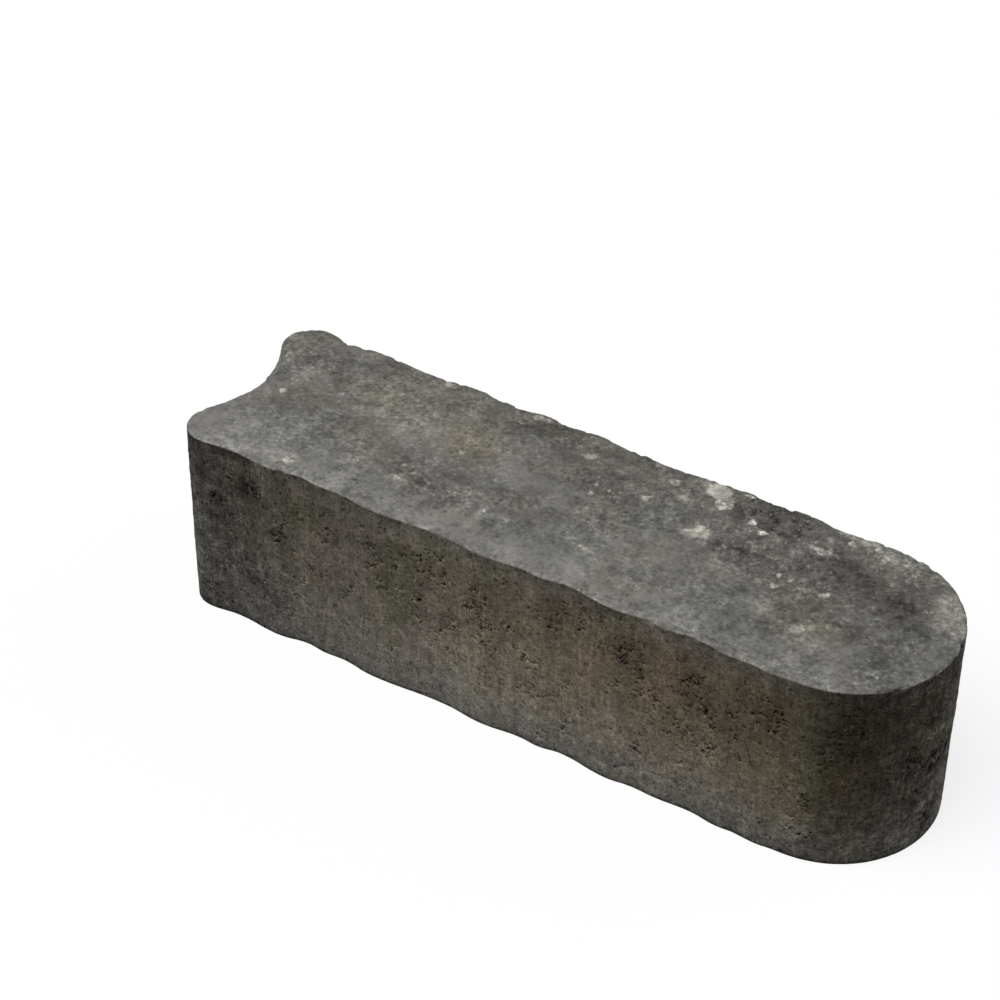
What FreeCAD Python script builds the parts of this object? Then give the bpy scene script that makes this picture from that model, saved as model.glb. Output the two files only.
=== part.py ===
"""A scalloped lawn edging stone: one block of pressed concrete with a round nose at one end,
a matching hollow at the other and long sides that run in shallow, uneven scallops.

Millimetres. +X runs from the hollow to the nose, +Z is up, and the origin is the middle of the
underside's bounding box. Laid in a row, the nose of one stone turns in the hollow of the next.
"""

import FreeCAD
import Part

import math
import os

# Overall block
LENGTH = 500.0  # from the tips of the horns to the tip of the nose
WIDTH = 140.0  # across the crests of the two sides
HEIGHT = 135.0
TOP_ARRIS_RADIUS = 2.0  # the worn edge round the walking face

# The two ends that nest
NOSE_INSET = 2.0  # the nose's shoulder lies this far inside the crest line
JOINT_GAP = 2.0  # room between a nose and the hollow that it sits in
HORN_RADIUS = 19.5  # the rounded tip on each side of the hollow

# The scallops of each side, from its horn to its nose. A scallop is the step along the side to its
# notch, the notch's depth below the crest line, the step on to its crest, and the crest's own depth.
FRONT_SCALLOPS = (
    (22.5, 2.4, 30.0, 0.2),
    (23.0, 3.6, 13.0, 2.2),
    (13.0, 3.0, 24.0, 0.1),
    (52.0, 2.9, 28.0, 0.4),
    (28.0, 2.8, 12.0, 1.8),
    (16.0, 4.2, 33.0, 0.5),
    (18.0, 2.5, 15.0, 1.9),
    (23.0, 3.2, 20.0, 0.9),
    (10.0, 1.7, 14.0, 0.7),
)
BACK_SCALLOPS = (
    (19.5, 3.6, 26.0, 0.8),
    (39.0, 3.6, 36.0, 1.0),
    (32.0, 3.7, 18.0, 0.9),
    (16.0, 2.9, 22.0, 0.4),
    (22.0, 3.2, 9.0, 2.4),
    (17.0, 4.8, 59.0, 0.9),
    (13.0, 1.8, 28.0, 0.5),
    (22.0, 3.8, 22.0, 1.5),
)
SHOULDER_RUN = 15.0  # from the last crest of a side to the nose's shoulder

# Worked out from the sizes above
HALF_LENGTH = LENGTH / 2
HALF_WIDTH = WIDTH / 2
NOSE_RADIUS = HALF_WIDTH - NOSE_INSET
NOSE_CENTRE_X = HALF_LENGTH - NOSE_RADIUS
HORN_CENTRE_X = HORN_RADIUS - HALF_LENGTH
HORN_CENTRE_Y = HALF_WIDTH - HORN_RADIUS
HOLLOW_RADIUS = NOSE_RADIUS + JOINT_GAP
HOLLOW_CENTRE_X = HORN_CENTRE_X - math.sqrt((HOLLOW_RADIUS + HORN_RADIUS) ** 2 - HORN_CENTRE_Y**2)

LEVEL = 1e-6  # two turning points this close to level are joined by a straight line
QUARTER_TURN = math.pi / 2


def plan(x, y):
    return FreeCAD.Vector(x, y, 0)


def arc(centre_x, centre_y, radius, first, last):
    """The arc from angle first to angle last, in radians."""
    angles = (first, (first + last) / 2, last)
    points = [plan(centre_x + radius * math.cos(a), centre_y + radius * math.sin(a)) for a in angles]
    return Part.Arc(*points).toShape()


def s_bend(start, end):
    """Two equal tangent arcs that leave start and reach end along X, or a line if the two are level."""
    run = end.x - start.x
    rise = end.y - start.y
    if abs(rise) < LEVEL:
        return [Part.LineSegment(start, end).toShape()]
    side = math.copysign(1, rise)
    radius = (run**2 + rise**2) / (4 * abs(rise))
    turn = side * 2 * math.atan2(abs(rise), run)
    foot = -side * QUARTER_TURN
    return [
        arc(start.x, start.y + side * radius, radius, foot, foot + turn),
        arc(end.x, end.y - side * radius, radius, turn - foot, -foot),
    ]


def turning_points(scallops):
    """Each notch and crest of a side as (x, depth), as many scallops as fill the run to the nose."""
    run = NOSE_CENTRE_X - SHOULDER_RUN - HORN_CENTRE_X
    mean_length = sum(to_notch + to_crest for to_notch, _, to_crest, _ in scallops) / len(scallops)
    count = max(1, round(run / mean_length))
    chosen = [scallops[i % len(scallops)] for i in range(count)]
    stretch = run / sum(to_notch + to_crest for to_notch, _, to_crest, _ in chosen)
    x = HORN_CENTRE_X
    points = [(x, 0)]
    for to_notch, notch_depth, to_crest, crest_depth in chosen:
        x += to_notch * stretch
        points.append((x, notch_depth))
        x += to_crest * stretch
        points.append((x, crest_depth))
    return points + [(NOSE_CENTRE_X, NOSE_INSET)]


def scalloped_side(scallops, side):
    """The edges of one long side, from horn to nose. side is +1 at the back and -1 at the front."""
    points = [plan(x, side * (HALF_WIDTH - depth)) for x, depth in turning_points(scallops)]
    return [edge for start, end in zip(points, points[1:]) for edge in s_bend(start, end)]


def outline():
    """The stone seen from above: two scalloped sides, the nose, and the hollow between its horns."""
    meet = math.atan2(HORN_CENTRE_Y, HORN_CENTRE_X - HOLLOW_CENTRE_X)  # where a horn runs into the hollow
    edges = [
        *scalloped_side(FRONT_SCALLOPS, -1),
        arc(NOSE_CENTRE_X, 0, NOSE_RADIUS, -QUARTER_TURN, QUARTER_TURN),
        *scalloped_side(BACK_SCALLOPS, +1),
        arc(HORN_CENTRE_X, HORN_CENTRE_Y, HORN_RADIUS, QUARTER_TURN, math.pi + meet),
        arc(HOLLOW_CENTRE_X, 0, HOLLOW_RADIUS, meet, -meet),
        arc(HORN_CENTRE_X, -HORN_CENTRE_Y, HORN_RADIUS, math.pi - meet, 3 * QUARTER_TURN),
    ]
    return Part.Wire(Part.__sortEdges__(edges))


def edging_stone():
    """The outline raised to full height, with the edge of the walking face rounded off."""
    block = Part.Face(outline()).extrude(FreeCAD.Vector(0, 0, HEIGHT))
    walking_face = max(block.Faces, key=lambda face: face.CenterOfMass.z)
    return block.makeFillet(TOP_ARRIS_RADIUS, walking_face.Edges).Solids[0]


stone = edging_stone()
os.makedirs("parts", exist_ok=True)
stone.exportStep("parts/edging_stone.step")

hollow_depth = HOLLOW_CENTRE_X + HOLLOW_RADIUS + HALF_LENGTH
print(f"volume {stone.Volume / 1e6:.3f} litres, valid {stone.isValid()}, hollow {hollow_depth:.1f} mm deep")
print(stone.optimalBoundingBox())
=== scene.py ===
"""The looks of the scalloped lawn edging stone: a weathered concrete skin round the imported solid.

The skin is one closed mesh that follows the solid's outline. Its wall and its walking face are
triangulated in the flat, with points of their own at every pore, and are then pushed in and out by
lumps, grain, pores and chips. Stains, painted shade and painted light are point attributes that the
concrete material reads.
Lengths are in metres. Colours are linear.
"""

import math
from typing import NamedTuple

import bmesh
import bpy
import numpy as np
from mathutils import Matrix, Vector, geometry, kdtree, noise


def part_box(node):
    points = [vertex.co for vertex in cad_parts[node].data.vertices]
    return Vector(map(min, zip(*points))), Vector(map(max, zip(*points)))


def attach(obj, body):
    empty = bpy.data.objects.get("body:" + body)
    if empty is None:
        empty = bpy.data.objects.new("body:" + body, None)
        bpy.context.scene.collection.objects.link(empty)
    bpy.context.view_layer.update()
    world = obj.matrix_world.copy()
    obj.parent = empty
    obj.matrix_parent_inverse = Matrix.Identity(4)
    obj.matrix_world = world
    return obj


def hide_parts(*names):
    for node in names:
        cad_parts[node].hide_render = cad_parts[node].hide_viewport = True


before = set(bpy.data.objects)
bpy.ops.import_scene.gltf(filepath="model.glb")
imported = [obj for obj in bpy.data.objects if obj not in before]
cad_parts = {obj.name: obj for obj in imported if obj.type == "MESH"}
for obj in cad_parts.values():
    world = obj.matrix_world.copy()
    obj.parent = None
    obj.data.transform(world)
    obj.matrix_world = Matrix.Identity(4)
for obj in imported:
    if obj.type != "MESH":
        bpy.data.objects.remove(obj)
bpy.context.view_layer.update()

NODE = "edging_stone"
MM = 0.001
SEED = 5


class Layer(NamedTuple):
    """Noise over the skin: a feature's size, its octaves, its own seed and how far it moves a point."""

    size: float
    octaves: int
    seed: int
    depth: float = 1.0


# How fine the skin is
COLUMN = 1.5 * MM  # between points along the edges
WALL_GRID = 2.1 * MM
TOP_GRID = 1.8 * MM
UNDERSIDE_GRID = 14 * MM
ARRIS_RADIUS = 2.0 * MM
ARRIS_ROWS = 5
SMOOTH_PASSES = 4  # these round off the facets of the solid's outline
JITTER = 0.36  # share of a grid step that a point strays
WELD = 0.01 * MM
MERGE = 0.05 * MM

# Relief
FRACTAL_FADE = 1.0  # how fast an octave loses strength as it gets finer
FRACTAL_STEP = 2.0  # times finer that each octave is
SEED_SHIFT = 17.3  # features between the noises of two seeds
WALL_LUMPS = Layer(38 * MM, octaves=2, seed=1, depth=0.45 * MM)
WALL_GRAIN = Layer(4 * MM, octaves=3, seed=2, depth=0.30 * MM)
WALL_STREAKS = Layer(4 * MM, octaves=2, seed=3, depth=0.14 * MM)
STREAK_LENGTH = 14  # times a streak's width
FOOT = 6 * MM  # the wall's relief dies away over this height above the bed
FOOT_RELIEF = 0.3
TOP_LUMPS = Layer(55 * MM, octaves=2, seed=4, depth=0.40 * MM)
TOP_GRAIN = Layer(5 * MM, octaves=3, seed=5, depth=0.13 * MM)
CHIPS = Layer(8 * MM, octaves=3, seed=6, depth=2.8 * MM)
NIBBLES = Layer(3 * MM, octaves=2, seed=10, depth=0.7 * MM)
CHIP_REACH = 2.6 * MM
CHIP_LIMIT = 4 * CHIP_REACH  # points this far below the top are clear of the arris
CHIP_SHARE = 0.10  # noise below this leaves the arris whole
CHIP_FALL = 0.8  # how far a chip goes down for each step inwards

# Pores
PORE_TRIES = 1500  # clusters offered, of which the crowded places keep most
PORE_FELLOWS = 4.0  # a cluster's mean number of pores, besides the first
PORE_SPREAD = 2.0 * MM
PORE_HEIGHT_BIAS = (1.5, 1.05)  # shape of the spread over the height, with few pores low down
LONE_SHARE = 0.16  # clusters kept where nothing crowds
CROWD_CHANCE = Layer(32 * MM, octaves=2, seed=9)
CROWD_LIMIT = 0.22  # where that noise is above this, pores crowd by chance
CROWD_AREA = 38  # in square millimetres, for each cluster that a listed place is sure to have
CROWD_STRAY = 0.4  # the spread of those clusters, as a share of the place's half sizes
WALL_MARGIN = 5 * MM
TOP_PITS = 70
TOP_MARGIN = 8 * MM
TOP_PIT_SHALLOW = 0.35  # depth and shade of a pit beside those of a pore
PORE_RADIUS = (0.5 * MM, 1.9 * MM)
PORE_RADIUS_BIAS = (1.1, 3.4)  # shape of the spread of radii, with most pores small
PORE_FLATNESS = (0.45, 1.0)  # a pore's short radius beside its long one
PORE_DEPTH = (0.8, 1.3)  # its depth beside its long radius
PORE_LOBES = ((2, 0.26), (3, 0.18))  # bulges round the rim, and how far they reach beside the radius
PORE_RIM_POINTS = 7
PORE_FLOOR_POINTS = 5
PORE_FLOOR = 0.55  # share of the radius at which the pore's wall meets its floor
PORE_CLEAR = 1.3  # grid points keep this many radii from a pore's middle
PORE_REACH = 3  # points further off than this many long radii lie outside a pore

# Places on the wall, as (along the outline from the hollow's middle, height, half length, half height,
# strength), in millimetres. The front runs from about 95 to 507, and the nose from there to 724.
CROWDS = (  # of pores
    (119, 109, 10, 8, 1.0),
    (143, 82, 6, 5, 1.3),
    (168, 64, 9, 5, 0.7),
    (222, 106, 14, 10, 0.5),
    (250, 108, 12, 12, 0.35),
    (271, 68, 7, 8, 1.0),
    (292, 100, 10, 16, 0.45),
    (303, 64, 6, 8, 0.6),
    (345, 112, 14, 14, 0.6),
    (330, 45, 14, 10, 0.4),
    (372, 125, 6, 4, 0.8),
    (394, 102, 14, 12, 1.0),
    (410, 70, 30, 14, 0.4),
    (436, 95, 12, 14, 1.0),
    (448, 84, 12, 10, 0.8),
    (464, 78, 18, 16, 0.35),
    (488, 100, 14, 12, 0.9),
    (517, 44, 8, 5, 0.7),
    (535, 96, 20, 14, 0.5),
    (592, 102, 10, 12, 0.7),
    (577, 73, 10, 12, 0.8),
    (597, 62, 18, 12, 1.0),
    (586, 41, 12, 8, 0.8),
    (597, 19, 8, 8, 0.8),
)
OLIVE = (  # tinges of this colour
    (157, 104, 14, 12, 0.7),
    (232, 75, 14, 45, 0.7),
    (262, 122, 12, 8, 0.6),
    (296, 118, 12, 12, 0.6),
    (430, 60, 8, 8, 0.5),
    (516, 90, 14, 40, 1.0),
    (800, 80, 16, 40, 0.7),
    (985, 70, 18, 45, 0.7),
)
PLUM = (
    (155, 124, 24, 7, 0.7),
    (180, 70, 12, 40, 0.7),
    (206, 108, 8, 22, 0.8),
    (245, 42, 13, 15, 0.8),
    (390, 40, 30, 12, 0.5),
    (423, 126, 12, 5, 0.9),
    (535, 46, 9, 6, 0.8),
    (560, 75, 16, 50, 0.6),
    (865, 60, 20, 40, 0.7),
    (1060, 90, 24, 30, 0.7),
)
# the greyer hue at the hollow's end and the front beside it is part of the painted shadow there
GREY = (  # no brown shows here
    (112, 32, 34, 34, 1.0),
    (80, 70, 24, 90, 0.9),
)
LIGHT = (  # the strength is how much lighter the place is
    (125, 122, 36, 10, 0.25),
    (235, 122, 24, 9, 0.2),
    (150, 90, 16, 40, 0.15),
    (507, 24, 9, 9, 0.3),
    (552, 10, 26, 12, 0.8),
)
# Places on the walking face: (x, y, half length, half width, strength), in millimetres
CHARCOAL = (  # dark, coarse patches
    (150, 32, 72, 32, 0.55),
    (108, 52, 30, 15, 1.0),
    (98, 17, 15, 8, 0.9),
    (168, 32, 22, 15, 0.8),
    (205, 17, 18, 16, 0.8),
    (188, -10, 32, 14, 0.5),
    (218, -34, 16, 16, 0.3),
    (143, -12, 8, 7, 0.3),
    (10, 23, 20, 8, 0.35),
    (-45, 54, 28, 9, 0.4),
    (-97, -23, 27, 15, 0.5),
    (-60, -31, 16, 9, 0.3),
    (-190, -2, 14, 10, 0.2),
    (-233, 26, 9, 14, 0.3),
)
OCHRE = (
    (-87, 19, 16, 17, 0.85),
    (-160, 33, 24, 14, 0.4),
    (165, -22, 24, 15, 0.6),
    (150, -2, 22, 10, 0.4),
    (-47, 58, 20, 9, 0.4),
)
SPOTS = (  # crisp pale grains and flakes
    (-63, 64, 6, 3, 0.8),
    (-18, 46, 5, 4, 0.6),
    (66, 59, 7, 6, 1.3),
    (74, 50, 5, 5, 1.3),
    (75, 18, 5, 6, 1.1),
    (50, 42, 4, 4, 0.6),
    (40, 52, 4, 4, 0.55),
    (22, 62, 2, 2, 0.9),
    (43, 65, 3, 1.5, 0.8),
    (85, 65, 4, 1.5, 0.8),
    (32, 30, 3, 3, 0.6),
    (1, 15, 2.5, 2.5, 0.6),
    (97, 43, 2.5, 2.5, 0.75),
    (107, 38, 3.5, 2.5, 0.75),
    (145, 42, 5, 3, 1.4),
    (163, 6, 3, 3, 0.9),
    (157, 57, 4, 2, 0.9),
    (172, 60, 3, 2, 0.8),
    (200, 51, 2, 2, 0.9),
    (163, -27, 4, 4, 1.1),
    (135, -2, 2.5, 2.5, 0.9),
    (133, 8, 2, 2, 0.8),
    (-172, -57, 4, 6, 0.6),
    (-217, 0, 3, 3, 0.7),
    (-130, 63, 6, 3, 0.7),
    (-87, 8, 2.5, 2.5, 0.8),
    (23, -32, 4, 3, 0.7),
)
PALE = (  # soft veils
    (66, 58, 10, 9, 0.4),
    (75, 18, 8, 9, 0.4),
    (-18, 47, 8, 6, 0.4),
    (48, 45, 8, 6, 0.3),
    (145, 43, 8, 5, 0.4),
    (163, -27, 8, 8, 0.3),
    (-216, 13, 6, 8, 0.4),
    (-172, -57, 7, 8, 0.4),
    (23, -32, 8, 5, 0.3),
    (-120, -57, 80, 11, 0.13),
    (0, 45, 30, 6, 0.2),
    (95, -9, 24, 12, 0.2),
    (140, 6, 22, 8, 0.12),
    (184, 54, 20, 10, 0.4),
    (158, 64, 12, 4, 0.6),
    (234, 30, 12, 18, 0.6),
    (228, -5, 10, 6, 0.25),
    (30, 34, 16, 7, 0.2),
    (-36, 8, 26, 8, 0.12),
    (-157, 43, 16, 9, 0.2),
    (133, -17, 8, 8, 0.25),
    (104, -58, 18, 10, 0.25),
)
SMOOTH = (  # little grain shows here
    (-36, 7, 27, 8, 1.0),
    (-238, -54, 14, 14, 1.0),
    (-20, -54, 190, 12, 0.62),
    (130, -48, 60, 14, 0.45),
    (85, -10, 40, 10, 0.5),
    (234, 30, 12, 18, 0.6),
)
STAIN_FADE = 1.5  # half sizes from its middle at which a stain has gone
STAIN_BENDS = (  # these bend a stain's edge along each axis
    Layer(9 * MM, octaves=3, seed=7, depth=3.5 * MM),
    Layer(9 * MM, octaves=3, seed=8, depth=3.5 * MM),
)
SPOT_BENDS = 0.4  # share of the bends that a spot's edge takes

# How light the concrete is, by place: (millimetres, share of its colour)
TONE_TURN = 0.5  # the walking face's tone holds where the normal points up by more than this
TONE_ACROSS = (  # from front to back
    (-70, 1.22), (-62, 1.15), (-54, 1.08), (-45, 1.05), (-20, 0.96), (30, 0.95), (58, 0.94), (70, 0.86),
)
# painted shadow of a neighbouring stone at the hollow's end, painted shade on the nose, painted light on
# the back
TONE_AND_PAINTED_LIGHT_ROUND = (  # from the hollow's middle along the front, the nose and the back
    (0, 0.75), (55, 0.60), (90, 0.50), (115, 0.53), (140, 0.70), (165, 0.81), (225, 0.91), (265, 1.0),
    (330, 1.0), (405, 0.93), (445, 0.84), (475, 0.74), (505, 0.72), (520, 0.46), (535, 0.35), (552, 0.38),
    (572, 0.58), (592, 0.92), (617, 1.10), (680, 1.06), (724, 1.10), (790, 1.35), (870, 1.08), (960, 1.35),
    (1040, 1.10), (1100, 1.20), (1232, 0.75),
)
# up the wall: darker in its lowest 3 mm, lighter low down, and a painted shadow just under the arris
TONE_AND_ARRIS_SHADOW_UP = (
    (0, 0.66), (3, 0.94), (7, 1.14), (30, 1.28), (75, 1.02), (112, 0.78), (126, 0.84), (129, 0.78),
    (132, 0.60), (135, 0.58),
)
# How strong the wall's grain is, by place
COARSE_ROUND = (
    (0, 1.0), (80, 1.6), (120, 1.3), (180, 0.9), (500, 1.0), (540, 1.3), (590, 1.65), (610, 1.6),
    (650, 1.2), (724, 1.0), (1232, 1.0),
)
# How brown the wall is, by place: the product of the two runs from grey at 0 to brown at 1
WARM_ROUND = (
    (0, 0.3), (95, 0.3), (140, 0.48), (230, 0.48), (330, 0.72), (400, 0.9), (440, 0.8), (500, 1.0),
    (535, 1.0), (567, 0.6), (602, 0.25), (660, 0.3), (724, 0.6), (850, 0.9), (960, 0.5), (1060, 0.8),
    (1100, 0.6), (1232, 0.3),
)
WARM_UP = (
    (0, 0.0), (16, 0.1), (28, 0.42), (53, 0.78), (75, 0.95), (103, 1.0), (118, 0.95), (126, 0.55),
    (135, 0.4),
)

# Concrete colours
COOL_GREY = (0.154, 0.151, 0.141, 1)
WARM_GREY = (0.155, 0.148, 0.132, 1)
CHARCOAL_GREY = (0.047, 0.044, 0.040, 1)
OCHRE_STAIN = (0.200, 0.177, 0.128, 1)
PALE_GRAIN = (0.330, 0.320, 0.290, 1)
SPOT_CREAM = (0.365, 0.350, 0.312, 1)
SIDE_BROWN = (0.199, 0.158, 0.104, 1)
SIDE_OLIVE = (0.168, 0.160, 0.108, 1)
SIDE_PLUM = (0.186, 0.157, 0.137, 1)
SIDE_GREY = (0.180, 0.172, 0.154, 1)
CONCRETE_ROUGHNESS = 0.92
CONCRETE_SPECULAR = 0.05
WHITE = (1, 1, 1, 1)

# Noise in the colour. A feature's size, and how far the noise is shifted so that no two are alike.
TOP_BROAD = dict(size=70 * MM, detail=2, roughness=0.9, shift=133.4)
TOP_MOTTLE = dict(size=11 * MM, detail=3, roughness=0.85, shift=0.9)
TOP_SAND = dict(size=2.4 * MM, detail=1, roughness=0.7, shift=1.1)
TOP_FLECKS = dict(size=12 * MM, detail=3, roughness=0.75, shift=1.4)
TOP_FLAKES = dict(size=9 * MM, detail=3, roughness=0.7, shift=1.7)
TOP_WARMTH = dict(size=45 * MM, shift=0.3)
TOP_UNEVEN = dict(size=35 * MM, shift=1.1)
TOP_GRAVEL = dict(size=4.5 * MM, detail=2, roughness=0.6, shift=2.0)
SIDE_MOTTLE = dict(size=7 * MM, detail=3, roughness=0.75, shift=2.2)
SIDE_SAND = dict(size=2.0 * MM, detail=2, roughness=0.7, shift=2.5)
SIDE_STREAKS = dict(size=2.6 * MM, detail=2, squash=(1, 1, 0.1), shift=1.6)
SIDE_BANDS = dict(size=14 * MM, detail=2, squash=(1, 1, 0.15), shift=1.9)
SIDE_TINTS = dict(size=18 * MM, detail=2, squash=(1, 1, 0.4))
SIDE_BLOTCHES = dict(size=5 * MM, detail=3, shift=4.1)
WORN_HIGHLIGHT_NOISE = dict(size=8 * MM, shift=3.3)
ARRIS_SHADOW_NOISE = dict(size=14 * MM, shift=3.7)
BUMPS = dict(size=2.2 * MM, detail=3, roughness=0.7)

# Values at which a feature starts and is full
FLECK_RANGE = (0.07, 0.20)
FLAKE_RANGE = (-0.08, 0.08)
SMOOTH_RANGE = (0.1, 1.0)
SPOT_RANGE = (0.25, 0.7)
WARM_RANGE = (-0.12, 0.12)
UNEVEN_RANGE = (-0.1, 0.1)
GRAVEL_RANGE = (0.09, 0.22)
TINT_RANGE = (0.0, 0.2)
BLOTCH_RANGE = (0.02, 0.08)
FACING_UP_RANGE = (0.3, 0.7)
WORN_HIGHLIGHT_RANGE = (-0.02, 0.15)
WORN_HIGHLIGHT_NEAR_ARRIS = (0.45, 0.9)
WORN_HIGHLIGHT_FACING_UP = (0.2, 0.8)
ARRIS_SHADOW_RANGE = (-0.06, 0.08)
ARRIS_SHADOW_NEAR_ARRIS = (0.2, 0.7)
ARRIS_SHADOW_FACING_UP = (0.5, 0.1)

# Walking face
TOP_SPECKS = dict(size=3.2 * MM, radius=0.5, share=0.14)
RAGGED_SAND = 0.4  # weight of sand beside mottle in the noise that breaks up stains
STAIN_BREAKUP = {  # share of a stain's strength that is even, and how far ragged noise changes it
    "smooth": (1.0, 3.0),
    "charcoal": (0.5, 3.5),
    "ochre": (0.6, 2.0),
    "pale": (0.85, 3.0),
    "spots": (1.0, 2.0),
}
CHARCOAL_FLAKES = 0.7  # added to the even share of charcoal inside a flake
WARM_BY_Y = 2.0  # for each metre towards the back
# Strength of the grain: its base, what uneven noise and charcoal add, and the shares that others take
TOP_ROUGH = {"even": 0.7, "uneven": 0.35, "smooth": -0.65, "charcoal": 1.45, "pale": -0.4}
TOP_STOPS = {  # each stop doubles the brightness
    "salt": 0.45,
    "gravel": 0.5,
    "mottle": 3.3,
    "sand": 2.2,
    "pepper": -0.4,
    "broad": 2.2,
    "fleck": 0.3,
    "smooth": 0.1,
}
FLECKS_IN_CHARCOAL = 1.6  # added to a fleck's strength where charcoal is full

# Side
TINTS = (  # attribute, colour, how much of it is mingled in everywhere, shift of its noise
    ("olive", SIDE_OLIVE, 0.3, 2.8),
    ("plum", SIDE_PLUM, 0.3, 3.2),
    ("grey", SIDE_GREY, 0.0, 3.6),
)
TINT_STRENGTH = 0.8
TINT_MOTTLE = 3.0  # how far mottle breaks up a tint
TINT_BANDS = 2.0
WARM_MOTTLE = 0.3  # how far mottle changes the brown
WARM_BANDS = 0.5
POROUS_MOTTLE = 3.0
# the dark ones of these specks paint the shade of fine pores
FINE_SPECKS = dict(size=2.0 * MM, radius=0.5)
FINE_SHARE = (0.16, 0.3)  # in dense concrete, and added where it is porous
COARSE_SPECKS = dict(size=3.4 * MM, radius=0.45)
COARSE_SHARE = (0.10, 0.5)
SIDE_STOPS = {
    "even": -0.10,
    "mottle": 2.9,
    "sand": 2.6,
    "streaks": 1.0,
    "bands": 0.6,
    "bright": 0.3,
    # the painted shade of fine pores
    "pepper": -1.2,
    "porous": -0.4,
    "blotch": -3.6,
}

# Both faces
SPECK_BENDS = 2  # bends in a speck's outline for each size
SPECK_STRAY = 1.2  # how far they stray, in sizes
PORE_SHADE = 0.88  # painted shade: share of the colour that the bottom of a pore loses
WORN_EDGE_HIGHLIGHT = 0.4  # share that the worn arris is lighter, wear with a painted highlight
PAINTED_ARRIS_SHADOW = 0.3  # share that the painted shadow under the arris is darker
BUMP_HEIGHT = 0.8 * MM
SIDE_BUMP = 0.75  # strength of the fine bumps
TOP_BUMP_LOSS = 0.4  # how much less it is on the walking face

# Photograph's view
VIEW_AZIMUTH = 31.86
VIEW_ELEVATION = 38.30
VIEW_ROLL = 0.64
VIEW_AIM = (-0.0868, 0.0532, 0.0669)
VIEW_DISTANCE = 1.7357
LENS_MM = 97.2
SENSOR_MM = 36.0

# Studio, where a level of 1 shows a colour as it is written
FLOOR_HALF = 8.0
FLOOR_BOUNCE = 0.20
FLOOR_SHADOW = 0.20  # share of the floor's look that takes the shadow
SKY_LEVEL = 0.18
SUNS = {  # direction that the light comes from, level, angle that the lamp fills in degrees
    "key": ((-0.235, -0.407, 0.883), 0.90, 50),
    "rim": ((0.62, 0.72, 0.31), 0.16, 60),
}


class Outline:
    """The stone's plan outline: evenly spaced points, walked anticlockwise from the hollow's middle."""

    def __init__(self, corners, spacing):
        closed = np.vstack([corners, corners[:1]])
        run = np.concatenate([[0], np.cumsum(np.linalg.norm(np.diff(closed, axis=0), axis=1))])
        self.length = run[-1]
        self.count = round(self.length / spacing)
        self.step = self.length / self.count
        self.along = np.arange(self.count) * self.step
        points = np.stack([np.interp(self.along, run, closed[:, axis]) for axis in (0, 1)], axis=1)
        for _ in range(SMOOTH_PASSES):
            points = (np.roll(points, 1, 0) + 2 * points + np.roll(points, -1, 0)) / 4
        tangent = unit(np.roll(points, -1, 0) - np.roll(points, 1, 0))
        self.points = points
        self.outward = np.stack([tangent[:, 1], -tangent[:, 0]], axis=1)

    def at(self, along):
        """Points and outward directions at distances along the outline."""
        place = along / self.step
        before = np.floor(place).astype(int)
        share = (place - before)[:, None]
        before, after = before % self.count, (before + 1) % self.count
        point = self.points[before] * (1 - share) + self.points[after] * share
        outward = self.outward[before] * (1 - share) + self.outward[after] * share
        return point, unit(outward)

    def inset(self, distance):
        return self.points - self.outward * distance


class Pores:
    """Irregular pits in a plane, each with a lobed rim, a steep wall and a flat floor."""

    def __init__(self, centres, rng):
        count = len(centres)
        low, high = PORE_RADIUS
        radius = low + (high - low) * rng.beta(*PORE_RADIUS_BIAS, count)
        self.centres = centres
        self.radii = np.stack([radius, radius * rng.uniform(*PORE_FLATNESS, count)], axis=1)
        self.depths = radius * rng.uniform(*PORE_DEPTH, count)
        self.phases = rng.uniform(0, 2 * math.pi, (count, len(PORE_LOBES)))
        turns = rng.uniform(0, math.pi, count)
        cosine, sine = np.cos(turns), np.sin(turns)
        self.axes = np.stack([cosine, sine, -sine, cosine], axis=1).reshape(-1, 2, 2)

    def bulge(self, i, angle):
        """How far the rim of pore i reaches at an angle round it, in radii."""
        reach = 1.0
        for (lobes, height), phase in zip(PORE_LOBES, self.phases[i]):
            reach = reach + height * np.sin(lobes * angle + phase)
        return reach

    def ring(self, i, share, count):
        """Points round pore i at a share of its radius."""
        angle = np.arange(count) * 2 * math.pi / count + self.phases[i, 0]
        reach = share * self.bulge(i, angle)
        local = np.stack([reach * np.cos(angle), reach * np.sin(angle)], axis=1) * self.radii[i]
        return self.centres[i] + local @ self.axes[i]

    def points(self):
        """The middle, rim and floor points of every pore."""
        numbers = range(len(self.centres))
        rims = [self.ring(i, 1.0, PORE_RIM_POINTS) for i in numbers]
        floors = [self.ring(i, PORE_FLOOR, PORE_FLOOR_POINTS) for i in numbers]
        return np.vstack([self.centres, *rims, *floors])

    def fields(self, points):
        """(depth, share of full depth, distance from the nearest pore in radii) at points."""
        depth = np.zeros(len(points))
        share = np.zeros(len(points))
        nearest = np.full(len(points), np.inf)
        for i, centre in enumerate(self.centres):
            reach = PORE_REACH * self.radii[i, 0]
            near = np.nonzero((np.abs(points - centre) < reach).all(axis=1))[0]
            local = (points[near] - centre) @ self.axes[i].T / self.radii[i]
            rim = np.hypot(*local.T) / self.bulge(i, np.arctan2(local[:, 1], local[:, 0]))
            fall = np.clip((1 - rim) / (1 - PORE_FLOOR), 0, 1)
            depth[near] = np.maximum(depth[near], self.depths[i] * fall)
            share[near] = np.maximum(share[near], fall)
            nearest[near] = np.minimum(nearest[near], rim)
        return depth, share, nearest


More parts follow.
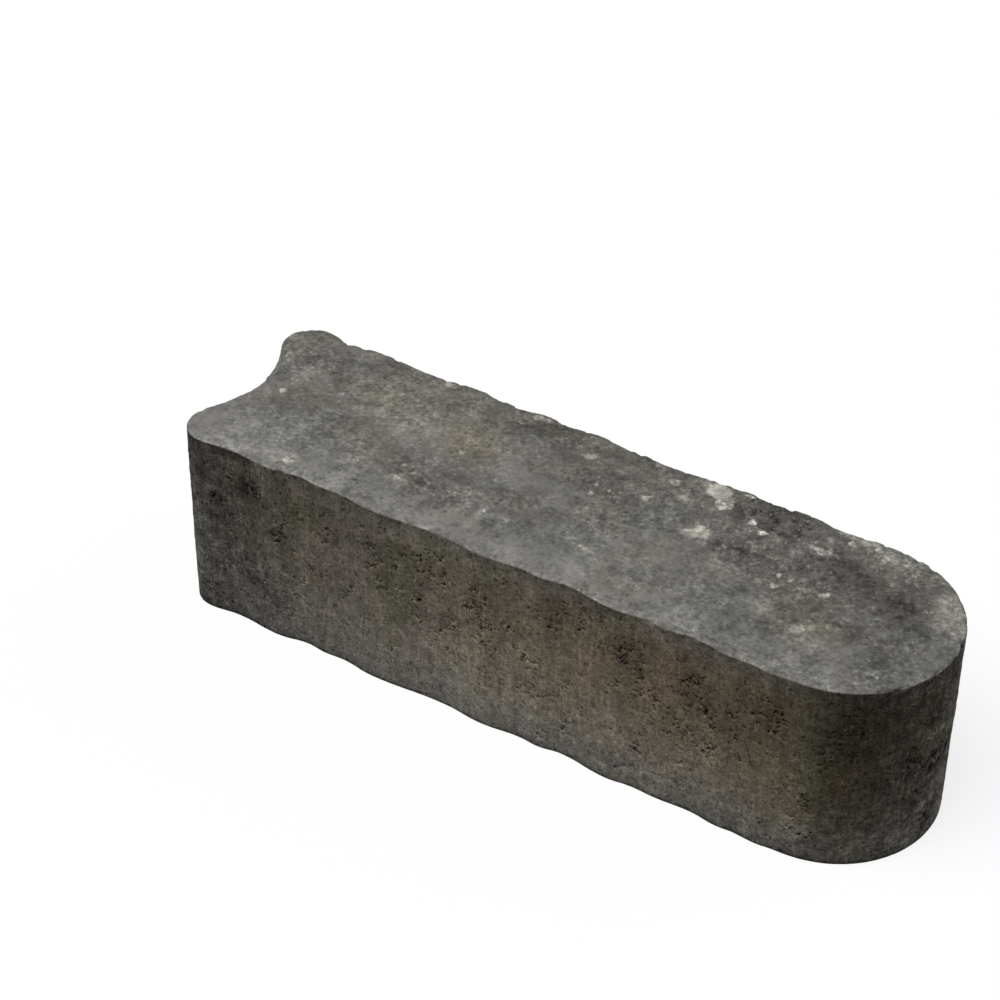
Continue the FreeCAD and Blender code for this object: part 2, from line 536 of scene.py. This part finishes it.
class Skin:
    """Points with normals, places round the wall and pore depths, and the triangles over them."""

    def __init__(self):
        self.count = 0
        self.points = []
        self.normals = []
        self.alongs = []
        self.depths = []
        self.shares = []
        self.faces = []

    def add(self, points, normals, along=None, pores=None):
        """Takes in points and returns their numbers."""
        depth, share = pores if pores else np.zeros((2, len(points)))
        self.points.append(points)
        self.normals.append(normals)
        self.alongs.append(np.zeros(len(points)) if along is None else along)
        self.depths.append(depth)
        self.shares.append(share)
        numbers = self.count + np.arange(len(points))
        self.count += len(points)
        return numbers


def unit(vectors):
    return vectors / np.linalg.norm(vectors, axis=1)[:, None]


def level(plan, height):
    """Plan points at one height."""
    return np.column_stack([plan, np.full(len(plan), height)])


def straight(count, z):
    """Normals that all point up or down."""
    return np.tile([0.0, 0.0, z], (count, 1))


def underside_corners(node):
    """The corners of a CAD node's underside in order, anticlockwise, from the hollow's middle."""
    solid = bmesh.new()
    solid.from_mesh(node.data)
    bmesh.ops.remove_doubles(solid, verts=solid.verts, dist=WELD)
    floor = min(v.co.z for v in solid.verts)
    beside = {}
    for edge in solid.edges:
        if sum(all(v.co.z < floor + WELD for v in face.verts) for face in edge.link_faces) == 1:
            a, b = edge.verts
            beside.setdefault(a, []).append(b)
            beside.setdefault(b, []).append(a)
    start = min((v for v in beside if v.co.x < 0), key=lambda v: abs(v.co.y))
    walk = [start, min(beside[start], key=lambda v: v.co.y)]
    while walk[-1] is not start:
        walk.append(next(v for v in beside[walk[-1]] if v is not walk[-2]))
    corners = np.array([v.co.xy for v in walk[:-1]])
    solid.free()
    return corners


def jittered_grid(low, high, step, rng):
    """Points about a step apart over a rectangle, each strayed from its place."""
    axes = []
    for start, end in zip(low, high):
        count = max(1, round((end - start) / step))
        axes.append(start + (end - start) * (np.arange(count) + 0.5) / count)
    grid = np.stack(np.meshgrid(*axes, indexing="ij"), axis=-1).reshape(-1, 2)
    return grid + rng.uniform(-JITTER, JITTER, grid.shape) * step


def inside_loop(points, loop):
    """Which points lie inside a closed loop, by counting its crossings to their right."""
    x, y = points.T
    inside = np.zeros(len(points), bool)
    for (ax, ay), (bx, by) in zip(loop, np.roll(loop, -1, 0)):
        if ay != by:
            inside ^= ((ay > y) != (by > y)) & (x < ax + (y - ay) * (bx - ax) / (by - ay))
    return inside


def triangles(points, border):
    """Delaunay triangles of plane points inside a border, a closed list of point numbers."""
    edges = list(zip(border, border[1:] + border[:1]))
    made = geometry.delaunay_2d_cdt([Vector(p) for p in points], edges, [], 1, MERGE)
    first = np.array([origin[0] for origin in made[3]])
    faces = first[np.array(made[2])]
    a, b, c = (points[faces[:, i]] for i in range(3))
    turn = (b[:, 0] - a[:, 0]) * (c[:, 1] - a[:, 1]) - (b[:, 1] - a[:, 1]) * (c[:, 0] - a[:, 0])
    faces[turn < 0] = faces[turn < 0][:, ::-1]
    return faces


def patches(u, v, table):
    """How strongly the patches of a table cover each point of a plane, falling off round their edges."""
    mask = np.zeros(len(u))
    for middle_u, middle_v, half_u, half_v, strength in table:
        reach = np.hypot((u / MM - middle_u) / half_u, (v / MM - middle_v) / half_v)
        mask = np.maximum(mask, strength * np.clip(STAIN_FADE - reach, 0, 1))
    return mask


def field(points, layer, stretch=(1, 1, 1)):
    """A layer's noise at points, about -1 to 1, with its features stretched along the axes."""
    places = points / (layer.size * np.array(stretch)) + SEED_SHIFT * layer.seed
    return np.array([noise.fractal(p, FRACTAL_FADE, FRACTAL_STEP, layer.octaves) for p in places])


def by_place(places, table):
    """Values read off a table of (millimetres, value) at places."""
    return np.interp(places / MM, *np.transpose(table))


def crowding(points, along):
    """0 where the wall is dense, to 1 where pores crowd: at the listed places and at others by chance."""
    chance = np.clip(field(points, CROWD_CHANCE) - CROWD_LIMIT, 0, 1) / (1 - CROWD_LIMIT)
    return np.clip(chance + patches(along, points[:, 2], CROWDS), 0, 1)


def crowd_hearts(rng):
    """The middles of the clusters that the listed places are sure to have, as (along, height)."""
    hearts = []
    for along, height, half_along, half_height, strength in CROWDS:
        count = round(strength * half_along * half_height / CROWD_AREA)
        stray = rng.normal(0, CROWD_STRAY, (count, 2)) * [half_along, half_height]
        hearts.append(np.array([along, height]) + stray)
    return np.vstack(hearts) * MM


def wall_pores(outline, height, rng):
    """Pores in the unrolled wall: ragged clusters, most of them in the crowded places."""
    low = np.array([WALL_MARGIN, WALL_MARGIN])
    high = np.array([outline.length, height]) - WALL_MARGIN
    share = np.stack([rng.uniform(size=PORE_TRIES), rng.beta(*PORE_HEIGHT_BIAS, PORE_TRIES)], axis=1)
    hearts = low + (high - low) * share
    plan, _ = outline.at(hearts[:, 0])
    crowd = crowding(np.column_stack([plan, hearts[:, 1]]), hearts[:, 0])
    hearts = hearts[rng.uniform(size=PORE_TRIES) < LONE_SHARE + (1 - LONE_SHARE) * crowd]
    hearts = np.vstack([hearts, crowd_hearts(rng)])
    hearts = np.repeat(hearts, 1 + rng.poisson(PORE_FELLOWS, len(hearts)), axis=0)
    centres = hearts + rng.normal(0, PORE_SPREAD, hearts.shape)
    return Pores(centres[((centres > low) & (centres < high)).all(axis=1)], rng)


def add_wall(skin, outline, height, rng):
    """The wall, laid out flat as (along the outline, up) and closed at its seam. Returns its two edges."""
    pores = wall_pores(outline, height, rng)
    grid = jittered_grid((0, 0), (outline.length, height), WALL_GRID, rng)
    margin = WALL_GRID / 2
    grid = grid[((grid > margin) & (grid < [outline.length - margin, height - margin])).all(axis=1)]
    grid = grid[pores.fields(grid)[2] > PORE_CLEAR]
    bottom = np.stack([outline.along, np.zeros(outline.count)], axis=1)
    brow = bottom + [0, height]
    rise = np.arange(WALL_GRID, height - margin, WALL_GRID)
    seam = np.stack([np.zeros(len(rise)), rise], axis=1)
    flat = np.vstack([bottom, brow, seam, grid, pores.points()])
    plan, outward = outline.at(flat[:, 0])
    depth, share, _ = pores.fields(flat)
    points = np.column_stack([plan, flat[:, 1]])
    numbers = skin.add(points, level(outward, 0), flat[:, 0], (depth, share))

    bottom_numbers = numbers[:outline.count]
    brow_numbers = numbers[outline.count:2 * outline.count]
    seam_numbers = numbers[2 * outline.count:2 * outline.count + len(seam)]
    far_side = np.vstack([bottom[:1], seam, brow[:1]]) + [outline.length, 0]
    far_numbers = len(flat) + np.arange(len(far_side))
    border = [*bottom_numbers, *far_numbers, *brow_numbers[::-1], *seam_numbers[::-1]]
    faces = triangles(np.vstack([flat, far_side]), [int(n) for n in border])
    same = np.concatenate([numbers, bottom_numbers[:1], seam_numbers, brow_numbers[:1]])
    skin.faces.append(same[faces])
    return bottom_numbers, brow_numbers


def add_arris(skin, outline, height, brow_numbers):
    """Rows that turn from the wall's upper edge to the walking face. Returns the last row."""
    after = np.roll(np.arange(outline.count), -1)
    row = brow_numbers
    for angle in np.arange(1, ARRIS_ROWS + 1) / ARRIS_ROWS * math.pi / 2:
        plan = outline.inset(ARRIS_RADIUS * (1 - math.cos(angle)))
        points = level(plan, height - ARRIS_RADIUS * (1 - math.sin(angle)))
        normals = level(outline.outward * math.cos(angle), math.sin(angle))
        upper = skin.add(points, normals, outline.along)
        skin.faces.append(np.stack([row, row[after], upper[after]], axis=1))
        skin.faces.append(np.stack([row, upper[after], upper], axis=1))
        row = upper
    return row


def add_walking_face(skin, outline, height, rim_numbers, rng):
    """The walking face inside the arris, with a few shallow pits."""
    rim = outline.inset(ARRIS_RADIUS)
    low, high = rim.min(0), rim.max(0)
    pits = jittered_grid(low, high, math.sqrt(np.prod(high - low) / TOP_PITS), rng)
    pits = Pores(pits[inside_loop(pits, outline.inset(TOP_MARGIN))], rng)
    grid = jittered_grid(low, high, TOP_GRID, rng)
    grid = grid[pits.fields(grid)[2] > PORE_CLEAR]
    inner = np.vstack([grid, pits.points()])
    inner = inner[inside_loop(inner, outline.inset(ARRIS_RADIUS + TOP_GRID / 2))]
    depth, share, _ = pits.fields(inner)
    shallow = (depth * TOP_PIT_SHALLOW, share * TOP_PIT_SHALLOW)
    numbers = skin.add(level(inner, height), straight(len(inner), 1), pores=shallow)
    faces = triangles(np.vstack([rim, inner]), list(range(outline.count)))
    skin.faces.append(np.concatenate([rim_numbers, numbers])[faces])


def add_underside(skin, outline, bottom_numbers, rng):
    """The flat bed that the stone rests on."""
    low, high = outline.points.min(0), outline.points.max(0)
    inner = jittered_grid(low, high, UNDERSIDE_GRID, rng)
    inner = inner[inside_loop(inner, outline.inset(UNDERSIDE_GRID / 2))]
    numbers = skin.add(level(inner, 0), straight(len(inner), -1))
    faces = triangles(np.vstack([outline.points, inner]), list(range(outline.count)))
    skin.faces.append(np.concatenate([bottom_numbers, numbers])[faces][:, ::-1])


def rim_nearness(points, outline, height):
    """1 at the arris, falling to 0 a few millimetres away from it."""
    tree = kdtree.KDTree(outline.count)
    for i, (x, y) in enumerate(outline.points):
        tree.insert((x, y, height), i)
    tree.balance()
    near = np.nonzero(points[:, 2] > height - CHIP_LIMIT)[0]
    distance = np.array([tree.find(points[i])[2] for i in near])
    nearness = np.zeros(len(points))
    nearness[near] = np.exp(-(distance / CHIP_REACH) ** 2)
    return nearness


def weather(skin, outline, height):
    """The skin's points pushed into lumps, grain, pores and chips, and its attributes by name."""
    points, normals = np.vstack(skin.points), np.vstack(skin.normals)
    along = np.concatenate(skin.alongs)
    up = np.clip(normals[:, 2], 0, 1)
    side = 1 - np.abs(normals[:, 2])
    bend_u, bend_v = (layer.depth * field(points, layer) for layer in STAIN_BENDS)
    on_top = (points[:, 0] + bend_u, points[:, 1] + bend_v)
    on_wall = (along + bend_u, points[:, 2] + bend_v)
    on_spots = (points[:, 0] + SPOT_BENDS * bend_u, points[:, 1] + SPOT_BENDS * bend_v)

    foot = np.interp(points[:, 2], (0, FOOT), (FOOT_RELIEF, 1))
    relief = side * foot * (
        WALL_LUMPS.depth * field(points, WALL_LUMPS)
        + WALL_GRAIN.depth * field(points, WALL_GRAIN)
        + WALL_STREAKS.depth * field(points, WALL_STREAKS, stretch=(1, 1, STREAK_LENGTH))
    )
    smooth = up * patches(*on_top, SMOOTH)
    relief += up * (
        TOP_LUMPS.depth * field(points, TOP_LUMPS)
        + TOP_GRAIN.depth * (1 - np.clip(smooth, 0, 1)) * field(points, TOP_GRAIN)
    )
    moved = points + normals * (relief - np.concatenate(skin.depths))[:, None]
    arris = rim_nearness(points, outline, height)
    bite = CHIPS.depth * np.clip(field(points, CHIPS) - CHIP_SHARE, 0, 1)
    bite += NIBBLES.depth * np.clip(field(points, NIBBLES), 0, 1)
    moved -= (normals * [1, 1, 0] + [0, 0, CHIP_FALL]) * (arris * bite)[:, None]

    # painted shade and painted light round and up the wall, with the concrete's own tone
    wall_tone_and_painted_light = by_place(along, TONE_AND_PAINTED_LIGHT_ROUND) * by_place(points[:, 2], TONE_AND_ARRIS_SHADOW_UP)
    wall_tone_and_painted_light *= 1 + patches(*on_wall, LIGHT)
    attributes = {
        "pore": np.concatenate(skin.shares),
        "porous": side * crowding(points, along),
        "coarse": by_place(along, COARSE_ROUND),
        "warm": by_place(along, WARM_ROUND) * by_place(points[:, 2], WARM_UP),
        "olive": side * patches(*on_wall, OLIVE),
        "plum": side * patches(*on_wall, PLUM),
        "grey": side * patches(*on_wall, GREY),
        "arris": arris,
        "walking_face": up,
        "tone_and_painted_light": np.where(up > TONE_TURN, by_place(points[:, 1], TONE_ACROSS), wall_tone_and_painted_light),
        "charcoal": up * patches(*on_top, CHARCOAL),
        "ochre": up * patches(*on_top, OCHRE),
        "pale": up * patches(*on_top, PALE),
        "spots": up * patches(*on_spots, SPOTS),
        "smooth": smooth,
    }
    return moved, attributes


def stone_object(name, outline, height):
    """The whole stone as one closed, smooth-shaded mesh."""
    rng = np.random.RandomState(SEED)
    skin = Skin()
    bottom, brow = add_wall(skin, outline, height - ARRIS_RADIUS, rng)
    rim = add_arris(skin, outline, height, brow)
    add_walking_face(skin, outline, height, rim, rng)
    add_underside(skin, outline, bottom, rng)
    points, attributes = weather(skin, outline, height)
    mesh = bpy.data.meshes.new(name)
    mesh.from_pydata(points, [], np.vstack(skin.faces))
    mesh.shade_smooth()
    for key, values in attributes.items():
        mesh.attributes.new(key, "FLOAT", "POINT").data.foreach_set("value", values.astype(np.float32))
    return add_object(name, mesh)


def add_object(name, data):
    made = bpy.data.objects.new(name, data)
    bpy.context.scene.collection.objects.link(made)
    return made


class Graph:
    """A short way to add nodes to a node tree. A value is a number, a colour or another node's output."""

    def __init__(self, owner):
        owner.use_nodes = True
        self.tree = owner.node_tree
        self.tree.nodes.clear()

    def node(self, kind, inputs, **settings):
        made = self.tree.nodes.new(kind)
        for name, value in settings.items():
            setattr(made, name, value)
        for key, value in inputs.items():
            if isinstance(value, bpy.types.NodeSocket):
                self.tree.links.new(value, made.inputs[key])
            else:
                made.inputs[key].default_value = value
        return made

    def place(self):
        """The point's place on the stone, in metres."""
        return self.node("ShaderNodeTexCoord", {}).outputs["Object"]

    def axis(self, name):
        return self.node("ShaderNodeSeparateXYZ", {0: self.place()}).outputs[name]

    def attribute(self, name):
        return self.node("ShaderNodeAttribute", {}, attribute_name=name).outputs["Fac"]

    def math(self, operation, a, b, clamp=False):
        return self.node("ShaderNodeMath", {0: a, 1: b}, operation=operation, use_clamp=clamp).outputs[0]

    def noise(self, size, detail=3.0, roughness=0.6, squash=(1, 1, 1), shift=0.0):
        """Noise about 0, with features of a size that squash draws out by axis."""
        moves = {"Vector": self.place(), "Location": (shift,) * 3, "Scale": squash}
        moved = self.node("ShaderNodeMapping", moves).outputs[0]
        inputs = {"Vector": moved, "Scale": 1 / size, "Detail": detail, "Roughness": roughness}
        return self.math("SUBTRACT", self.node("ShaderNodeTexNoise", inputs).outputs["Fac"], 0.5)

    def cells(self, size):
        """(distance from the middle of a ragged cell, a random number for the cell about 0)."""
        inputs = {"Vector": self.place(), "Scale": SPECK_BENDS / size}
        bends = self.node("ShaderNodeTexNoise", inputs).outputs["Color"]
        inputs = {0: bends, 1: (0.5, 0.5, 0.5)}
        bends = self.node("ShaderNodeVectorMath", inputs, operation="SUBTRACT").outputs[0]
        inputs = {0: bends, 1: (SPECK_STRAY * size,) * 3, 2: self.place()}
        place = self.node("ShaderNodeVectorMath", inputs, operation="MULTIPLY_ADD").outputs[0]
        made = self.node("ShaderNodeTexVoronoi", {"Vector": place, "Scale": 1 / size})
        chance = self.node("ShaderNodeSeparateColor", {0: made.outputs["Color"]}).outputs[0]
        return made.outputs["Distance"], self.math("SUBTRACT", chance, 0.5)

    def specks(self, size, radius, share):
        """Light specks and dark ones, each 1 within a radius of the middles of a share of the cells."""
        distance, chance = self.cells(size)
        dot = self.ramp(distance, radius, radius / 2)
        light = self.math("GREATER_THAN", self.math("ADD", chance, share), 0.5)
        dark = self.math("LESS_THAN", self.math("SUBTRACT", chance, share), -0.5)
        return self.product(light, dot), self.product(dark, dot)

    def ramp(self, value, low, high):
        """0 below low and 1 above high, or the other way round if low is the larger."""
        inputs = {"Value": value, "From Min": low, "From Max": high}
        return self.node("ShaderNodeMapRange", inputs, interpolation_type="SMOOTHSTEP").outputs[0]

    def total(self, start, *parts):
        """A start plus each (value, weight)."""
        for value, weight in parts:
            start = self.math("ADD", self.product(value, weight), start)
        return start

    def product(self, a, b, clamp=False):
        return self.math("MULTIPLY", a, b, clamp)

    def stops(self, value):
        """How much lighter a number of stops makes a colour: each doubles it."""
        return self.math("POWER", 2.0, value)

    def mix(self, factor, a, b):
        made = self.node("ShaderNodeMix", {0: factor, 6: a, 7: b}, data_type="RGBA")
        return made.outputs[2]

    def shade(self, colour, factor):
        inputs = {0: colour, "Scale": factor}
        return self.node("ShaderNodeVectorMath", inputs, operation="SCALE").outputs[0]


def stain(graph, name, ragged, *more):
    """A stain's strength, broken up by ragged noise and by any more (value, weight)."""
    even, breaks = STAIN_BREAKUP[name]
    return graph.product(graph.attribute(name), graph.total(even, *more, (ragged, breaks)), clamp=True)


def walking_face_colour(graph):
    """Mottled grey, with charcoal, ochre and pale stains whose edges break up into grains."""
    mottle = graph.noise(**TOP_MOTTLE)
    sand = graph.noise(**TOP_SAND)
    ragged = graph.total(mottle, (sand, RAGGED_SAND))
    flake = graph.ramp(graph.noise(**TOP_FLAKES), *FLAKE_RANGE)
    smooth = graph.ramp(stain(graph, "smooth", ragged), *SMOOTH_RANGE)
    charcoal = stain(graph, "charcoal", ragged, (flake, CHARCOAL_FLAKES))
    ochre = stain(graph, "ochre", ragged)
    pale = stain(graph, "pale", ragged)
    spots = graph.ramp(stain(graph, "spots", ragged), *SPOT_RANGE)
    warm = graph.total(graph.noise(**TOP_WARMTH), (graph.axis("Y"), WARM_BY_Y))
    colour = graph.mix(graph.ramp(warm, *WARM_RANGE), COOL_GREY, WARM_GREY)
    colour = graph.mix(ochre, colour, OCHRE_STAIN)
    colour = graph.mix(charcoal, colour, CHARCOAL_GREY)
    colour = graph.mix(pale, colour, PALE_GRAIN)
    colour = graph.mix(spots, colour, SPOT_CREAM)

    uneven = graph.ramp(graph.noise(**TOP_UNEVEN), *UNEVEN_RANGE)
    rough = graph.total(TOP_ROUGH["even"], (uneven, TOP_ROUGH["uneven"]))
    rough = graph.product(rough, graph.total(1.0, (smooth, TOP_ROUGH["smooth"])))
    rough = graph.total(rough, (charcoal, TOP_ROUGH["charcoal"]))
    rough = graph.product(rough, graph.total(1.0, (pale, TOP_ROUGH["pale"])))
    salt, pepper = graph.specks(**TOP_SPECKS)
    gravel = graph.product(graph.ramp(graph.noise(**TOP_GRAVEL), *GRAVEL_RANGE), charcoal)
    grain = graph.total(
        graph.product(salt, TOP_STOPS["salt"]),
        (gravel, TOP_STOPS["gravel"]),
        (mottle, TOP_STOPS["mottle"]),
        (sand, TOP_STOPS["sand"]),
        (pepper, TOP_STOPS["pepper"]),
    )
    fleck = graph.ramp(graph.noise(**TOP_FLECKS), *FLECK_RANGE)
    fleck = graph.product(fleck, graph.total(1.0, (charcoal, FLECKS_IN_CHARCOAL)))
    light = graph.total(
        graph.product(grain, rough),
        (graph.noise(**TOP_BROAD), TOP_STOPS["broad"]),
        (fleck, TOP_STOPS["fleck"]),
        (smooth, TOP_STOPS["smooth"]),
    )
    return graph.shade(colour, graph.stops(light))


def side_colour(graph):
    """Grey to brown concrete: olive, plum and grey patches, upright streaks, grains and the painted shade
    of fine pores.
    """
    mottle = graph.noise(**SIDE_MOTTLE)
    bands = graph.noise(**SIDE_BANDS)
    warm = graph.total(graph.attribute("warm"), (bands, WARM_BANDS), (mottle, WARM_MOTTLE))
    colour = graph.mix(warm, SIDE_GREY, SIDE_BROWN)
    ragged = graph.total(1.0, (mottle, TINT_MOTTLE), (bands, TINT_BANDS))
    for name, tint, mingling, shift in TINTS:
        chance = graph.ramp(graph.noise(**SIDE_TINTS, shift=shift), *TINT_RANGE)
        patch = graph.product(graph.attribute(name), ragged)
        share = graph.total(graph.product(chance, mingling), (patch, TINT_STRENGTH))
        colour = graph.mix(share, colour, tint)

    porous = graph.total(1.0, (mottle, POROUS_MOTTLE))
    porous = graph.product(graph.attribute("porous"), porous, clamp=True)
    dense_share, porous_share = FINE_SHARE
    bright, fine = graph.specks(**FINE_SPECKS, share=graph.total(dense_share, (porous, porous_share)))
    dense_share, porous_share = COARSE_SHARE
    _, coarse = graph.specks(**COARSE_SPECKS, share=graph.total(dense_share, (porous, porous_share)))
    grain = graph.total(
        SIDE_STOPS["even"],
        (mottle, SIDE_STOPS["mottle"]),
        (graph.noise(**SIDE_SAND), SIDE_STOPS["sand"]),
        (graph.noise(**SIDE_STREAKS), SIDE_STOPS["streaks"]),
        (bands, SIDE_STOPS["bands"]),
        (bright, SIDE_STOPS["bright"]),
        (graph.math("MAXIMUM", fine, coarse), SIDE_STOPS["pepper"]),
        (porous, SIDE_STOPS["porous"]),
    )
    coarseness = graph.attribute("coarse")
    blotch = graph.product(porous, graph.ramp(graph.noise(**SIDE_BLOTCHES), *BLOTCH_RANGE))
    blotch = graph.product(blotch, graph.math("SUBTRACT", coarseness, 1.0))
    light = graph.total(graph.product(grain, coarseness), (blotch, SIDE_STOPS["blotch"]))
    return graph.shade(colour, graph.stops(light))


def concrete():
    material = bpy.data.materials.new("weathered_concrete")
    graph = Graph(material)
    arris, upward = graph.attribute("arris"), graph.attribute("walking_face")
    facing_up = graph.ramp(upward, *FACING_UP_RANGE)
    colour = graph.mix(facing_up, side_colour(graph), walking_face_colour(graph))
    # wear along the arris with a painted highlight, broken up by noise
    edge = graph.product(graph.ramp(arris, *WORN_HIGHLIGHT_NEAR_ARRIS), graph.ramp(upward, *WORN_HIGHLIGHT_FACING_UP))
    worn_highlight = graph.product(edge, graph.ramp(graph.noise(**WORN_HIGHLIGHT_NOISE), *WORN_HIGHLIGHT_RANGE))
    # a painted shadow just under the arris, broken up by noise
    brow = graph.product(graph.ramp(arris, *ARRIS_SHADOW_NEAR_ARRIS), graph.ramp(upward, *ARRIS_SHADOW_FACING_UP))
    arris_shadow = graph.product(brow, graph.ramp(graph.noise(**ARRIS_SHADOW_NOISE), *ARRIS_SHADOW_RANGE))
    light = graph.total(
        1.0,
        # painted shade at the bottom of each pore
        (graph.attribute("pore"), -PORE_SHADE),
        (worn_highlight, WORN_EDGE_HIGHLIGHT),
        (arris_shadow, -PAINTED_ARRIS_SHADOW),
    )
    bump = graph.node("ShaderNodeBump", {
        "Height": graph.noise(**BUMPS),
        "Strength": graph.total(SIDE_BUMP, (facing_up, -TOP_BUMP_LOSS)),
        "Distance": BUMP_HEIGHT,
    })
    surface = graph.node("ShaderNodeBsdfPrincipled", {
        "Base Color": graph.shade(colour, graph.product(light, graph.attribute("tone_and_painted_light"))),
        "Roughness": CONCRETE_ROUGHNESS,
        "Specular IOR Level": CONCRETE_SPECULAR,
        "Normal": bump.outputs[0],
    })
    graph.node("ShaderNodeOutputMaterial", {"Surface": surface.outputs[0]})
    return material


def seen_directly(graph):
    """1 for rays from the camera, and for those that mirror or glass passes on."""
    path = graph.node("ShaderNodeLightPath", {}).outputs
    seen = graph.math("MAXIMUM", path["Is Camera Ray"], path["Is Glossy Ray"])
    return graph.math("MAXIMUM", seen, path["Is Transmission Ray"])


def add_floor():
    """A white floor that keeps a soft shadow and throws little light back at the stone."""
    mesh = bpy.data.meshes.new("floor")
    corners = [(x * FLOOR_HALF, y * FLOOR_HALF, 0) for x, y in ((-1, -1), (1, -1), (1, 1), (-1, 1))]
    mesh.from_pydata(corners, [], [(0, 1, 2, 3)])
    material = bpy.data.materials.new("studio_floor")
    graph = Graph(material)
    white = graph.node("ShaderNodeEmission", {"Color": WHITE, "Strength": 1.0}).outputs[0]
    shadowed = graph.node("ShaderNodeBsdfDiffuse", {"Color": WHITE}).outputs[0]
    shown = graph.node("ShaderNodeMixShader", {0: FLOOR_SHADOW, 1: white, 2: shadowed}).outputs[0]
    dull = graph.node("ShaderNodeBsdfDiffuse", {"Color": (FLOOR_BOUNCE,) * 3 + (1,)}).outputs[0]
    both = graph.node("ShaderNodeMixShader", {0: seen_directly(graph), 1: dull, 2: shown}).outputs[0]
    graph.node("ShaderNodeOutputMaterial", {"Surface": both})
    mesh.materials.append(material)
    add_object("floor", mesh)


def add_light():
    """An even sky, white where it is seen, a soft key from the hollow's end and a faint rim light."""
    world = bpy.data.worlds.new("studio")
    bpy.context.scene.world = world
    graph = Graph(world)
    lit = graph.node("ShaderNodeBackground", {"Color": WHITE, "Strength": SKY_LEVEL}).outputs[0]
    shown = graph.node("ShaderNodeBackground", {"Color": WHITE, "Strength": 1.0}).outputs[0]
    both = graph.node("ShaderNodeMixShader", {0: seen_directly(graph), 1: lit, 2: shown}).outputs[0]
    graph.node("ShaderNodeOutputWorld", {"Surface": both})
    for name, (source, brightness, angle) in SUNS.items():
        lamp = bpy.data.lights.new(name, "SUN")
        lamp.energy = math.pi * brightness
        lamp.angle = math.radians(angle)
        sun = add_object(name, lamp)
        sun.rotation_euler = Vector(source).to_track_quat("Z", "Y").to_euler()


def add_camera():
    """The photograph's camera."""
    azimuth, elevation, roll = (math.radians(a) for a in (VIEW_AZIMUTH, VIEW_ELEVATION, VIEW_ROLL))
    right = Vector((math.cos(azimuth), math.sin(azimuth), 0))
    ahead = Vector((-math.sin(azimuth), math.cos(azimuth), 0))
    back = Vector((0, 0, math.sin(elevation))) - ahead * math.cos(elevation)
    across = right * math.cos(roll) + back.cross(right) * math.sin(roll)
    data = bpy.data.cameras.new("camera")
    data.sensor_width = SENSOR_MM
    data.lens = LENS_MM
    camera = add_object("camera", data)
    turn = Matrix((across, back.cross(across), back)).transposed().to_4x4()
    camera.matrix_world = Matrix.Translation(Vector(VIEW_AIM) + back * VIEW_DISTANCE) @ turn
    bpy.context.scene.camera = camera


_, top_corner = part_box(NODE)
plan = Outline(underside_corners(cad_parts[NODE]), COLUMN)
stone = stone_object("weathered_stone", plan, top_corner.z)
stone.data.materials.append(concrete())
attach(stone, "root")
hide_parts(NODE)

add_floor()
add_light()
add_camera()
bpy.context.scene.view_settings.view_transform = "Standard"
